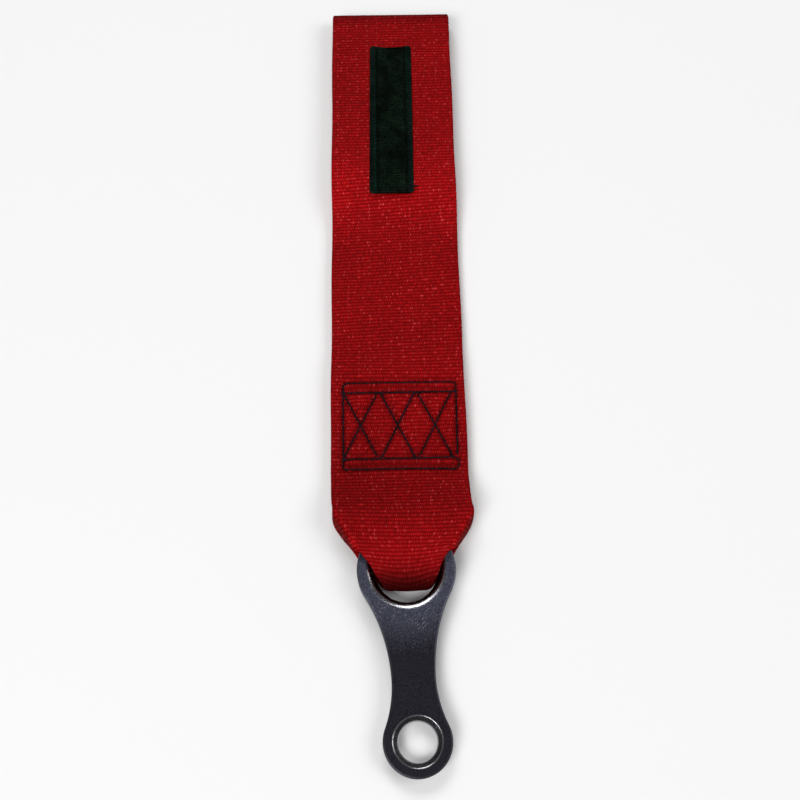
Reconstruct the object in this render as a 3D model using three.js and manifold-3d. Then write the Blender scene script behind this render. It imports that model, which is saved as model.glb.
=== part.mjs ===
// A tow strap lying on a floor: a loop of heavy red webbing, sewn flat near one end, a
// plated steel link with two eyes held in the short loop past the sewing, and a patch
// of hook-and-loop tape sewn on near the fold at the other end.
//
// Millimetres, +Z up. +Y runs from the link's bolt eye to the strap's fold, and z = 0
// is the floor. Sizes along the strap count from the centre of the link's big eye, and
// the finished group is moved so that its origin is at the middle of its footprint.
import * as THREE from "three";
import Module from "manifold-3d";
import { mergeVertices } from "three/addons/utils/BufferGeometryUtils.js";

// Webbing
const WEB_WIDTH = 50;
const WEB_THICKNESS = 2;
const FOLD_END = 244.6; // from the eye's centre to the outside of the fold
const FOLD_CORNER = 1.6; // worn corner of the fold, seen from above
const LOOP_GAP = 5.2; // height inside the long loop, under the patch

// Sewn block: the front, the lapped end and the back lie on each other
const SEWN_START = 36;
const SEWN_LENGTH = 38;
const LAYERS_SEWN = 3;
const SETTLE_LENGTH = 16; // over which the front comes down to the back after the block
const LOOSE_GAP = 0.6; // between the front and the back where they lie loose
const LOOSE_LENGTH = 45;
const RISE_LENGTH = 27; // from there up to the level stretch under the patch

// Link
const LINK_THICKNESS = 6;
const EYE_RADIUS = 11; // clear radius of the big eye, which holds the webbing
const EYE_WALL = 6.25; // from the clear radius to the outside
const EYE_ROUNDING = 3; // the rim is rounded, so that it doesn't cut the webbing
const BOLT_RADIUS = 6.5; // clear radius of the small eye
const BOLT_WALL = 5.15;
const BOLT_CHAMFER = 2;
const EYE_PITCH = 57.2; // between the two eyes' centres
const WAIST_HALF_WIDTH = 7.5;
const WAIST_SHARE = 0.35; // of the pitch, from the bolt eye to the narrowest place
const LINK_EDGE = 0.6; // bevel round the outline

// How the link and the short loop lie together
const SEAT_GAP = 0.3; // between the link and the webbing under and over it
const BIGHT_CLEARANCE = 5; // from the webbing's turn to the eye's near wall
const BIGHT_HALF_WIDTH = 6.2; // of the gathered webbing at its turn
const GATHER_LENGTH = 34; // from the turn to where the webbing has its full width
const LEAN = THREE.MathUtils.degToRad(2.6); // sideways, of the link and the short loop

// Box stitching through the block
const THREAD_WIDTH = 1.1;
const THREAD_HEIGHT = 0.4;
const BOX_START = 37.7;
const BOX_HALF_WIDTH = 20.2;
const BOX_LENGTH = 34.6;
const ROW_GAP = 3.8; // between the two rows across each end
const CROSSES = 3;

// Hook-and-loop patch
const PATCH_WIDTH = 17.5;
const PATCH_LENGTH = 72.4;
const PATCH_THICKNESS = 1.8;
const PATCH_CORNER = 1.5;
const PATCH_FROM_FOLD = 20.7;

// Fineness of the curves
const ARC_STEPS = 12;
const LOOP_STEPS = 20;
const RISE_STEPS = 10;
const EYE_SEGMENTS = 48;
const BOLT_SEGMENTS = 32;
const CUT_MARGIN = 5; // how far a cutting solid reaches past what it cuts

// Worked out from the sizes above
const halfWidth = WEB_WIDTH / 2;
const eyeEnd = EYE_RADIUS + EYE_WALL;
const boltEnd = BOLT_RADIUS + BOLT_WALL;
const linkReach = EYE_PITCH + boltEnd - LINK_EDGE; // to where it touches the floor
const eyeHeight = WEB_THICKNESS + SEAT_GAP; // of its underside at the eye's centre
const tilt = Math.asin(eyeHeight / linkReach);
const linkTop = eyeHeight + eyeEnd * Math.sin(tilt) + LINK_THICKNESS * Math.cos(tilt);
const overLink = linkTop + SEAT_GAP + WEB_THICKNESS;
const sewnEnd = SEWN_START + SEWN_LENGTH;
const sewnTop = LAYERS_SEWN * WEB_THICKNESS;
const looseStart = sewnEnd + SETTLE_LENGTH;
const looseEnd = looseStart + LOOSE_LENGTH;
const looseTop = 2 * WEB_THICKNESS + LOOSE_GAP;
const levelStart = looseEnd + RISE_LENGTH;
const loopTop = LOOP_GAP + 2 * WEB_THICKNESS;
const foldRadius = loopTop / 2;
const foldCentre = FOLD_END - foldRadius;
const bightRadius = overLink / 2;
const bightEnd = BIGHT_CLEARANCE - EYE_RADIUS;
const bightCentre = bightEnd + bightRadius;

const wasm = await Module();
wasm.setup();

// A closed three.js geometry as a manifold solid.
function toSolid(geometry) {
  const bare = geometry.clone();
  bare.deleteAttribute("normal");
  bare.deleteAttribute("uv");
  const merged = mergeVertices(bare, 1e-4);
  return new wasm.Manifold(
    new wasm.Mesh({
      numProp: 3,
      vertProperties: new Float32Array(merged.attributes.position.array),
      triVerts: new Uint32Array(merged.index.array),
    }),
  );
}

// A manifold solid as a three.js geometry with flat faces.
function toGeometry(solid) {
  const mesh = solid.getMesh();
  const indexed = new THREE.BufferGeometry();
  indexed.setAttribute("position", new THREE.BufferAttribute(mesh.vertProperties, 3));
  indexed.setIndex(new THREE.BufferAttribute(mesh.triVerts, 1));
  const flat = indexed.toNonIndexed();
  flat.computeVertexNormals();
  return flat;
}

// Evenly spaced places after the first one, up to and with the last.
function spread(from, to, steps) {
  return Array.from({ length: steps }, (_, i) => from + ((to - from) * (i + 1)) / steps);
}

// An S-curve from one height to another between two places along the strap.
function ramp(y, from, to, low, high) {
  return THREE.MathUtils.lerp(low, high, THREE.MathUtils.smoothstep(y, from, to));
}

// Height of the front layer's upper face along the strap.
function frontTop(y) {
  if (y <= SEWN_START) return ramp(y, eyeEnd, SEWN_START, overLink, sewnTop);
  if (y <= sewnEnd) return sewnTop;
  if (y <= looseStart) return ramp(y, sewnEnd, looseStart, sewnTop, looseTop);
  return ramp(y, looseEnd, levelStart, looseTop, loopTop);
}

// The webbing's half-width along the strap: drawn in where it passes through the eye,
// and worn round at the fold's corners.
function halfWidthAt(y) {
  const drawnIn = Math.max(0, 1 - (y - bightEnd) / GATHER_LENGTH);
  const intoCorner = Math.max(0, 1 - (FOLD_END - y) / FOLD_CORNER);
  const gathered = (halfWidth - BIGHT_HALF_WIDTH) * drawnIn ** 2;
  const worn = FOLD_CORNER * (1 - Math.sqrt(Math.max(0, 1 - intoCorner ** 2)));
  return halfWidth - gathered - worn;
}

// How far the short loop is moved sideways at a place along it, by its lean.
function leanAt(y) {
  return Math.max(0, SEWN_START - y) * Math.tan(LEAN);
}

// A half turn of the band round a point, seen from its side: its faces' points, going
// clockwise from the given angle.
function turn(centre, radius, startAngle) {
  const middle = new THREE.Vector2(centre, radius);
  return [0, ...spread(0, Math.PI, ARC_STEPS)].map((turned) => {
    const angle = startAngle - turned;
    const ray = new THREE.Vector2(Math.cos(angle), Math.sin(angle));
    return {
      outer: middle.clone().addScaledVector(ray, radius),
      inner: middle.clone().addScaledVector(ray, radius - WEB_THICKNESS),
    };
  });
}

// The faces' points of the front layer at one place, and of the back layer.
function front(y) {
  const top = frontTop(y);
  return { outer: new THREE.Vector2(y, top), inner: new THREE.Vector2(y, top - WEB_THICKNESS) };
}
function back(y) {
  return { outer: new THREE.Vector2(y, 0), inner: new THREE.Vector2(y, WEB_THICKNESS) };
}

// The whole band seen from its side, clockwise from under the turn in the eye.
function bandStations() {
  const places = [
    ...spread(bightCentre, SEWN_START, LOOP_STEPS),
    sewnEnd,
    ...spread(sewnEnd, looseStart, RISE_STEPS / 2),
    looseEnd,
    ...spread(looseEnd, levelStart, RISE_STEPS),
  ];
  return [
    ...turn(bightCentre, bightRadius, -Math.PI / 2),
    ...places.map(front),
    ...turn(foldCentre, foldRadius, Math.PI / 2),
    ...places.toReversed().map(back),
  ];
}

// The closed band: at each station a flat section across the webbing, joined to the
// section of the next one.
function bandGeometry() {
  const stations = bandStations();
  const positions = stations.flatMap(({ outer, inner }) => {
    const corners = [[-1, outer], [1, outer], [1, inner], [-1, inner]];
    return corners.flatMap(([side, p]) => [side * halfWidthAt(p.x) + leanAt(p.x), p.x, p.y]);
  });
  const index = stations.flatMap((_, i) => {
    const here = 4 * i;
    const next = 4 * ((i + 1) % stations.length);
    return [0, 1, 2, 3].flatMap((k) => {
      const l = (k + 1) % 4;
      return [here + k, here + l, next + l, here + k, next + l, next + k];
    });
  });
  const band = new THREE.BufferGeometry();
  band.setAttribute("position", new THREE.Float32BufferAttribute(positions, 3));
  band.setIndex(index);
  return band;
}

// The band, with its own end lapped between its layers in the sewn block.
function webbingGeometry() {
  const lapHeight = sewnTop - 2 * WEB_THICKNESS;
  const lap = new THREE.BoxGeometry(WEB_WIDTH, SEWN_LENGTH, lapHeight);
  lap.translate(0, SEWN_START + SEWN_LENGTH / 2, WEB_THICKNESS + lapHeight / 2);
  return toGeometry(toSolid(bandGeometry()).add(toSolid(lap)));
}

// Radius of the hollow side that is tangent to an end's circle and to the waist.
function sideRadius(endRadius, distance) {
  const across = WAIST_HALF_WIDTH ** 2 + distance ** 2 - endRadius ** 2;
  return across / (2 * (endRadius - WAIST_HALF_WIDTH));
}

// The link's outline, with its big eye at the origin and its bolt eye at -Y.
function linkOutline() {
  const waistFromBolt = WAIST_SHARE * EYE_PITCH;
  const waistY = waistFromBolt - EYE_PITCH;
  const eyeSide = sideRadius(eyeEnd, -waistY);
  const boltSide = sideRadius(boltEnd, waistFromBolt);
  const eyeX = WAIST_HALF_WIDTH + eyeSide;
  const boltX = WAIST_HALF_WIDTH + boltSide;
  const eyeAngle = Math.atan2(-waistY, eyeX);
  const boltAngle = Math.atan2(waistFromBolt, boltX);
  const half = Math.PI;

  const outline = new THREE.Shape();
  outline.absarc(0, 0, eyeEnd, -eyeAngle, half + eyeAngle, false);
  outline.absarc(-eyeX, waistY, eyeSide, eyeAngle, 0, true);
  outline.absarc(-boltX, waistY, boltSide, 0, -boltAngle, true);
  outline.absarc(0, -EYE_PITCH, boltEnd, half - boltAngle, 2 * half + boltAngle, false);
  outline.absarc(boltX, waistY, boltSide, half + boltAngle, half, true);
  outline.absarc(eyeX, waistY, eyeSide, half, half - eyeAngle, true);
  return outline;
}

// A round cutter along Z. Its wall follows the points, (radius, height) from the link's
// underside to its top, and it reaches past both faces.
function eyeCutter(wall, segments, y) {
  const first = wall[0];
  const last = wall[wall.length - 1];
  const profile = [
    new THREE.Vector2(0, first.y - CUT_MARGIN),
    new THREE.Vector2(first.x, first.y - CUT_MARGIN),
    ...wall,
    new THREE.Vector2(last.x, last.y + CUT_MARGIN),
    new THREE.Vector2(0, last.y + CUT_MARGIN),
  ];
  const cutter = new THREE.LatheGeometry(profile, segments);
  cutter.rotateX(Math.PI / 2);
  cutter.translate(0, y, 0);
  return toSolid(cutter);
}

// The big eye's wall: a quarter round at each face, meeting at the clear radius.
function eyeWall() {
  const mouth = EYE_RADIUS + EYE_ROUNDING;
  const angles = [0, ...spread(0, Math.PI / 2, ARC_STEPS / 2)];
  const under = angles.map((a) => {
    const inward = EYE_ROUNDING * Math.sin(a);
    return new THREE.Vector2(mouth - inward, EYE_ROUNDING * (1 - Math.cos(a)));
  });
  const over = under.map((p) => new THREE.Vector2(p.x, LINK_THICKNESS - p.y));
  const roundsMeet = LINK_THICKNESS <= 2 * EYE_ROUNDING;
  return [...under, ...over.reverse().slice(roundsMeet ? 1 : 0)];
}

// The bolt eye's wall: a chamfer at each face, with the clear radius between.
function boltWall() {
  const mouth = BOLT_RADIUS + BOLT_CHAMFER;
  return [
    new THREE.Vector2(mouth, 0),
    new THREE.Vector2(BOLT_RADIUS, BOLT_CHAMFER),
    new THREE.Vector2(BOLT_RADIUS, LINK_THICKNESS - BOLT_CHAMFER),
    new THREE.Vector2(mouth, LINK_THICKNESS),
  ];
}

function linkGeometry() {
  const blank = new THREE.ExtrudeGeometry(linkOutline(), {
    depth: LINK_THICKNESS - 2 * LINK_EDGE,
    bevelThickness: LINK_EDGE,
    bevelSize: LINK_EDGE,
    bevelOffset: -LINK_EDGE,
    bevelSegments: 1,
    curveSegments: ARC_STEPS,
  });
  blank.translate(0, 0, LINK_EDGE);
  const bigEye = eyeCutter(eyeWall(), EYE_SEGMENTS, 0);
  const boltEye = eyeCutter(boltWall(), BOLT_SEGMENTS, -EYE_PITCH);
  return toGeometry(toSolid(blank).subtract(bigEye).subtract(boltEye));
}

// A flat bar of thread lying on the block from one point to another.
function threadBar(fromX, fromY, toX, toY) {
  const along = new THREE.Vector2(toX - fromX, toY - fromY);
  const bar = new THREE.BoxGeometry(along.length(), THREAD_WIDTH, THREAD_HEIGHT);
  bar.rotateZ(along.angle());
  bar.translate((fromX + toX) / 2, (fromY + toY) / 2, THREAD_HEIGHT / 2);
  return toSolid(bar);
}

// The rows of stitching round the block's edge, and the crosses side by side inside.
function stitchingGeometry() {
  const boxEnd = BOX_START + BOX_LENGTH;
  const rows = [BOX_START, BOX_START + ROW_GAP, boxEnd - ROW_GAP, boxEnd];
  const reach = BOX_HALF_WIDTH + THREAD_WIDTH / 2;
  const bars = rows.map((y) => threadBar(-reach, y, reach, y));
  for (const x of [-BOX_HALF_WIDTH, BOX_HALF_WIDTH]) {
    bars.push(threadBar(x, BOX_START, x, boxEnd));
  }
  const pitch = (2 * BOX_HALF_WIDTH) / CROSSES;
  for (let i = 0; i < CROSSES; i++) {
    const left = i * pitch - BOX_HALF_WIDTH;
    bars.push(threadBar(left, rows[1], left + pitch, rows[2]));
    bars.push(threadBar(left + pitch, rows[1], left, rows[2]));
  }
  return toGeometry(bars.reduce((joined, bar) => joined.add(bar)));
}

function patchGeometry() {
  const half = PATCH_WIDTH / 2;
  const high = FOLD_END - PATCH_FROM_FOLD;
  const low = high - PATCH_LENGTH;
  const quarter = Math.PI / 2;
  const inner = half - PATCH_CORNER;
  const outline = new THREE.Shape();
  outline.absarc(inner, high - PATCH_CORNER, PATCH_CORNER, 0, quarter, false);
  outline.absarc(-inner, high - PATCH_CORNER, PATCH_CORNER, quarter, 2 * quarter, false);
  outline.absarc(-inner, low + PATCH_CORNER, PATCH_CORNER, 2 * quarter, 3 * quarter, false);
  outline.absarc(inner, low + PATCH_CORNER, PATCH_CORNER, 3 * quarter, 4 * quarter, false);
  return new THREE.ExtrudeGeometry(outline, {
    depth: PATCH_THICKNESS,
    bevelEnabled: false,
    curveSegments: ARC_STEPS / 4,
  });
}

// A named mesh with a material of its own.
function piece(name, geometry, color, roughness, metalness) {
  const material = new THREE.MeshStandardMaterial({ color, roughness, metalness });
  const mesh = new THREE.Mesh(geometry, material);
  mesh.name = name;
  return mesh;
}

const webbing = piece("webbing", webbingGeometry(), 0xb3101a, 0.8, 0);
const stitching = piece("box_stitching", stitchingGeometry(), 0x14141c, 0.7, 0);
stitching.position.z = sewnTop;
const patch = piece("hook_and_loop_patch", patchGeometry(), 0x0c1410, 0.95, 0);
patch.position.z = loopTop;

// The link lies over the back layer at its eye and on the floor at its bolt end.
const tilted = new THREE.Group();
tilted.position.set(0, -SEWN_START, eyeHeight);
tilted.rotation.x = tilt;
tilted.add(piece("tow_link", linkGeometry(), 0x55565f, 0.35, 1));
const leaning = new THREE.Group();
leaning.position.y = SEWN_START;
leaning.rotation.z = LEAN;
leaning.add(tilted);

const strap = new THREE.Group();
strap.add(webbing, stitching, patch, leaning);
strap.updateMatrixWorld(true);
const extent = new THREE.Box3().setFromObject(strap, true);
strap.position.x = -(extent.min.x + extent.max.x) / 2;
strap.position.y = -(extent.min.y + extent.max.y) / 2;

export default strap;
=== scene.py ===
"""A tow strap lying flat on a pale floor, seen from above and a little from its link's end.

The strap is one loop of ribbed red webbing, box-stitched in dark thread, with a patch of
hook-and-loop tape near its fold and a plated steel link in its short loop. Sizes are in
millimetres and count from the centre of the link's large eye, +Y towards the fold and +Z
up from the floor. Each mesh is turned into metres in the shared frame when it is made.
"""

import logging
import math
from collections.abc import Callable, Sequence
from dataclasses import dataclass, field
from enum import Enum

import bpy
import numpy as np
from mathutils import Matrix, Vector
from mathutils.geometry import tessellate_polygon


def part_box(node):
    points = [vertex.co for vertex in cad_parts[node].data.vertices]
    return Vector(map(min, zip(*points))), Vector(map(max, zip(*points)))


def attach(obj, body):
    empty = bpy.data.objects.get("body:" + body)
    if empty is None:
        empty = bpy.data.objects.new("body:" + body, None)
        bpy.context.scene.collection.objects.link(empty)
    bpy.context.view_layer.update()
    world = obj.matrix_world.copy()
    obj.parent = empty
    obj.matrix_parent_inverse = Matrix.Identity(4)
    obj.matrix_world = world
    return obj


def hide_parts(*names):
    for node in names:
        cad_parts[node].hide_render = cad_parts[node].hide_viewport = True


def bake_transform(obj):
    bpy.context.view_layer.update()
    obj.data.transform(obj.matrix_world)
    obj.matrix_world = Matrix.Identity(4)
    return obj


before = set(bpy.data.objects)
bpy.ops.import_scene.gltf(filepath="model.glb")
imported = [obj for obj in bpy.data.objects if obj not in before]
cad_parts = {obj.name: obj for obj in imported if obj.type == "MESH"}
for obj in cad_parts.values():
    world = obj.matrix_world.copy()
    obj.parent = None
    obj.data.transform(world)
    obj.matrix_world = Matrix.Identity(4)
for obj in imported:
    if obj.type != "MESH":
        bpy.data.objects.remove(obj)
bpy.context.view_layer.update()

MM = 0.001
COLUMN_WIDTH_SHARE = 0.07
SPECKS_IN_COLUMN = 0.6
SPECKS_ELSEWHERE = 0.03
Source = bpy.types.NodeSocket | float | tuple
Colour = tuple[float, float, float, float]
Table = tuple[tuple[float, float], ...]
log = logging.getLogger("tow_strap")


class Body(Enum):
    """The frame's bodies that a piece can ride on."""

    STRAP = "strap"
    LINK = "link"


class Slot(Enum):
    """The record's material slots."""

    WEBBING = "webbing_red"
    THREAD = "thread_navy"
    PATCH = "patch_black"
    STEEL = "link_steel"


def smoothstep(value: np.ndarray, low: float, high: float) -> np.ndarray:
    """Ease from 0 to 1 between two values.

    Args:
        value: Where to look.
        low: Where the result leaves 0.
        high: Where the result reaches 1.

    Returns:
        The eased share, of the same shape as value.
    """
    share = np.clip((np.asarray(value, float) - low) / (high - low), 0.0, 1.0)
    return share * share * (3.0 - 2.0 * share)


@dataclass(frozen=True)
class Seat:
    """Where the strap's own origin lies in the shared frame, in metres."""

    x: float
    y: float

    @classmethod
    def from_frame(cls, width: float, fold_end: float) -> "Seat":
        """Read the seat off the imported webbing.

        Args:
            width: Width of the webbing.
            fold_end: Place of the fold's outside along the strap.

        Returns:
            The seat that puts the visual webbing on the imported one.
        """
        low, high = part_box("webbing")
        return cls(low.x + width / 2 * MM, high.y - fold_end * MM)

    def metres(self, points: np.ndarray) -> np.ndarray:
        """Turn the strap's millimetres into the frame's metres."""
        return np.asarray(points, float) * MM + np.array([self.x, self.y, 0.0])


@dataclass
class Workshop:
    """Makes finished meshes: where they lie, how they are shaded and what they ride on."""

    seat: Seat

    def piece(
        self,
        name: str,
        points: np.ndarray,
        faces: Sequence[Sequence[int]],
        material: bpy.types.Material,
    ) -> bpy.types.Object:
        """Make a smooth-shaded object from points in the strap's millimetres.

        Args:
            name: The piece's name.
            points: Its points, one row each.
            faces: The points of each face, counted from 0.
            material: Its finish.

        Returns:
            The new object, linked to the scene with its place in its mesh.
        """
        mesh = bpy.data.meshes.new(name)
        mesh.from_pydata(self.seat.metres(points).tolist(), [], [list(f) for f in faces])
        mesh.materials.append(material)
        mesh.polygons.foreach_set("use_smooth", [True] * len(mesh.polygons))
        mesh.update()
        return show(name, mesh)

    def join_body(
        self, piece: bpy.types.Object, slot: Slot, body: Body, replaced: Sequence[str] = ()
    ) -> None:
        """Say which slot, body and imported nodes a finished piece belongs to.

        Args:
            piece: The finished piece.
            slot: The record's slot for its finish.
            body: The body that it rides on.
            replaced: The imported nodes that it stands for.
        """
        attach(piece, body.value)
        self.report(piece, slot, replaced)

    def bend_between(
        self,
        piece: bpy.types.Object,
        slot: Slot,
        start: Sequence[float],
        end: Sequence[float],
        node: str,
    ) -> None:
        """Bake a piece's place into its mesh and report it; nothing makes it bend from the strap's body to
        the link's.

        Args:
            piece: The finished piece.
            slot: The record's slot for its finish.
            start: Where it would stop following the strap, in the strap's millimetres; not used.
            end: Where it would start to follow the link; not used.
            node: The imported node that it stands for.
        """
        ends = [tuple(self.seat.metres(place)) for place in (start, end)]
        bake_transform(piece)
        self.report(piece, slot, [node])

    @staticmethod
    def report(piece: bpy.types.Object, slot: Slot, replaced: Sequence[str]) -> None:
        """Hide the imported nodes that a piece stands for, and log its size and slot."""
        if replaced:
            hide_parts(*replaced)
        triangles = sum(len(face.vertices) - 2 for face in piece.data.polygons)
        log.info("%s: %d triangles, slot %s", piece.name, triangles, slot.value)


def show(name: str, data: bpy.types.ID) -> bpy.types.Object:
    """Make an object of a mesh, light or camera and link it to the scene."""
    made = bpy.data.objects.new(name, data)
    bpy.context.scene.collection.objects.link(made)
    return made


def ring_faces(rings: int, points: int, closed: bool) -> np.ndarray:
    """Faces between rings of points that follow each other.

    Args:
        rings: How many rings there are.
        points: How many points each ring has.
        closed: Whether the last ring joins the first one.

    Returns:
        One row of four points for each face.
    """
    here = np.arange(rings if closed else rings - 1)[:, None] * points
    next_ring = (here + points) % (rings * points)
    around = np.arange(points)[None, :]
    after = (around + 1) % points
    corners = [here + around, here + after, next_ring + after, next_ring + around]
    return np.stack(corners, axis=-1).reshape(-1, 4)


def slab(x: np.ndarray, y: np.ndarray, top: np.ndarray, bottom: np.ndarray) -> tuple:
    """Points and faces of a closed slab over a grid.

    Args:
        x: Places across, one row for each place along.
        y: Places along, of the same shape.
        top: Heights of the upper face.
        bottom: Heights of the lower face.

    Returns:
        The points, one row each, and the faces.
    """
    rows, columns = x.shape
    count = rows * columns
    points = np.concatenate(
        [np.stack([x, y, z], axis=-1).reshape(-1, 3) for z in (top, bottom)]
    )
    grid = np.arange(count).reshape(rows, columns)
    cells = [grid[:-1, :-1], grid[:-1, 1:], grid[1:, 1:], grid[1:, :-1]]
    upper = np.stack(cells, axis=-1).reshape(-1, 4)
    lower = upper[:, ::-1] + count
    rim = np.concatenate([grid[0, :-1], grid[:-1, -1], grid[-1, :0:-1], grid[:0:-1, 0]])
    after = np.roll(rim, -1)
    wall = np.stack([rim, rim + count, after + count, after], axis=-1)
    return points, np.concatenate([upper, lower, wall])


class Graph:
    """A node tree that is built by calls."""

    def __init__(self, tree: bpy.types.NodeTree) -> None:
        """Take the tree to build in."""
        self.tree = tree

    def add(self, kind: str, sockets: dict | None = None, **settings) -> bpy.types.Node:
        """Add a node.

        Args:
            kind: The node's type.
            sockets: Values or sockets for its inputs, by name or number.
            **settings: The node's own settings.

        Returns:
            The node.
        """
        node = self.tree.nodes.new(kind)
        for name, value in settings.items():
            setattr(node, name, value)
        for name, value in (sockets or {}).items():
            self.feed(node.inputs[name], value)
        return node

    def feed(self, socket: bpy.types.NodeSocket, value: Source) -> None:
        """Link a socket to another one, or set it to a plain value."""
        if isinstance(value, bpy.types.NodeSocket):
            self.tree.links.new(value, socket)
        else:
            socket.default_value = value

    def math(self, operation: str, *values: Source) -> bpy.types.NodeSocket:
        """Work out one number from others and return its socket."""
        node = self.add("ShaderNodeMath", dict(enumerate(values)), operation=operation)
        return node.outputs[0]

    def vector(self, x: Source, y: Source, z: Source = 0.0) -> bpy.types.NodeSocket:
        """Join three numbers into a vector and return its socket."""
        return self.add("ShaderNodeCombineXYZ", {0: x, 1: y, 2: z}).outputs[0]

    def remap(
        self, value: Source, low: float, high: float, start: float = 0.0, end: float = 1.0
    ) -> bpy.types.NodeSocket:
        """Ease a number from one range to another.

        Args:
            value: The number.
            low: Where the result is start.
            high: Where the result is end.
            start: The result at low.
            end: The result at high.

        Returns:
            The result's socket.
        """
        limits = {"Value": value, "From Min": low, "From Max": high, "To Min": start, "To Max": end}
        node = self.add("ShaderNodeMapRange", limits, interpolation_type="SMOOTHSTEP")
        return node.outputs[0]

    def band(self, value: Source, start: float, end: float, soft: float) -> bpy.types.NodeSocket:
        """Return the socket of a stripe: 1 between two values, eased over soft past each."""
        rise = self.remap(value, start, start + soft)
        return self.math("SUBTRACT", rise, self.remap(value, end, end + soft))

    def scaled(self, value: Source, factor: float, base: float) -> bpy.types.NodeSocket:
        """Return the socket of base plus factor times a number."""
        return self.math("MULTIPLY_ADD", value, factor, base)

    def far(self, where: Source, place: Sequence[float]) -> bpy.types.NodeSocket:
        """Return the socket of the distance from a fixed place."""
        node = self.add("ShaderNodeVectorMath", {0: where, 1: place}, operation="DISTANCE")
        return node.outputs[1]

    def fraction(self, name: str) -> bpy.types.NodeSocket:
        """Return the socket of one of the mesh's own attributes."""
        return self.add("ShaderNodeAttribute", attribute_name=name).outputs["Fac"]

    def noise(self, vector: Source, scale: float, detail: float = 3.0) -> bpy.types.NodeSocket:
        """Return the socket of a cloudy pattern, about 0 to 1."""
        sockets = {"Vector": vector, "Scale": scale, "Detail": detail}
        return self.add("ShaderNodeTexNoise", sockets).outputs[0]

    def blend_colors(
        self, share: Source, first: Source, second: Source
    ) -> bpy.types.NodeSocket:
        """Mix two colours and return the result's socket."""
        node = self.add("ShaderNodeMix", {0: share}, data_type="RGBA")
        self.feed(node.inputs[6], first)
        self.feed(node.inputs[7], second)
        return node.outputs[2]


@dataclass(frozen=True)
class Effect:
    """A shader effect that several finishes share, as a node group built once."""

    name: str
    inputs: tuple[str, ...]
    outputs: tuple[str, ...]
    build: Callable[[Graph, dict], dict]

    def group(self) -> bpy.types.NodeTree:
        """Return the effect's node group, built on the first call."""
        found = bpy.data.node_groups.get(self.name)
        if found:
            return found
        tree = bpy.data.node_groups.new(self.name, "ShaderNodeTree")
        for name in self.inputs:
            kind = "NodeSocketVector" if name == "Vector" else "NodeSocketFloat"
            tree.interface.new_socket(name, in_out="INPUT", socket_type=kind)
        for name in self.outputs:
            tree.interface.new_socket(name, in_out="OUTPUT", socket_type="NodeSocketFloat")
        graph = Graph(tree)
        entry = graph.add("NodeGroupInput")
        leave = graph.add("NodeGroupOutput")
        made = self.build(graph, {name: entry.outputs[name] for name in self.inputs})
        for name, socket in made.items():
            graph.feed(leave.inputs[name], socket)
        return tree

    def place(self, graph: Graph, **values: Source) -> dict:
        """Place the effect in a finish.

        Args:
            graph: The finish's tree.
            **values: The effect's inputs.

        Returns:
            The effect's output sockets by name.
        """
        node = graph.add("ShaderNodeGroup", node_tree=self.group())
        for name, value in values.items():
            graph.feed(node.inputs[name], value)
        return {name: node.outputs[name] for name in self.outputs}


def build_weave(graph: Graph, given: dict) -> dict:
    """Ribs across the webbing, each of small cells that step sideways from rib to rib.

    Args:
        graph: The effect's tree.
        given: Across in millimetres, Along in ribs, and the widths of a Cell and a Column.

    Returns:
        Height, each cell's own Shade, and Speck, each from 0 to 1.
    """
    along_rib = graph.math("FRACT", given["Along"])
    rib_wave = graph.math("SINE", graph.math("MULTIPLY", along_rib, math.pi))
    row = graph.math("FLOOR", given["Along"])
    step = graph.math("MULTIPLY", graph.math("MODULO", row, 2.0), 0.5)
    cell = graph.math("ADD", graph.math("DIVIDE", given["Across"], given["Cell"]), step)
    cell_wave = graph.math("ABSOLUTE", graph.math("SINE", graph.math("MULTIPLY", cell, math.pi)))
    crown = graph.scaled(graph.math("POWER", cell_wave, 1.5), 0.5, 0.5)
    height = graph.math("MULTIPLY", rib_wave, crown)
    place = graph.vector(graph.math("FLOOR", cell), row)
    chance = graph.add("ShaderNodeTexWhiteNoise", {0: place}, noise_dimensions="2D").outputs[0]
    column = graph.math("DIVIDE", given["Across"], given["Column"])
    beside = graph.math("ABSOLUTE", graph.math("SUBTRACT", graph.math("FRACT", column), 0.5))
    turn = graph.math("MODULO", graph.math("ADD", row, graph.math("FLOOR", column)), 2.0)
    near = graph.math("LESS_THAN", beside, COLUMN_WIDTH_SHARE)
    near = graph.math("MULTIPLY", near, graph.math("ABSOLUTE", turn))
    picked = graph.math("GREATER_THAN", graph.math("MULTIPLY_ADD", near, SPECKS_IN_COLUMN, chance), 1.0)
    stray = graph.math("GREATER_THAN", chance, 1.0 - SPECKS_ELSEWHERE)
    small = graph.math("POWER", height, 2.0)
    speck = graph.math("MULTIPLY", graph.math("MAXIMUM", picked, stray), small)
    return {"Height": height, "Shade": chance, "Speck": speck}


def build_dust(graph: Graph, given: dict) -> dict:
    """Cloudy unevenness at two scales, as on handled goods.

    Args:
        graph: The effect's tree.
        given: The Vector to read, and the Scale of the large clouds.

    Returns:
        Cloud and Grain, each about 0 to 1.
    """
    fine = graph.math("MULTIPLY", given["Scale"], 22.0)
    cloud = graph.noise(given["Vector"], given["Scale"], 2.0)
    grain = graph.noise(given["Vector"], fine, 4.0)
    return {"Cloud": cloud, "Grain": grain}


WEAVE = Effect(
    name="weave",
    inputs=("Across", "Along", "Cell", "Column"),
    outputs=("Height", "Shade", "Speck"),
    build=build_weave,
)
DUST = Effect("dust", ("Vector", "Scale"), ("Cloud", "Grain"), build_dust)


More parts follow.
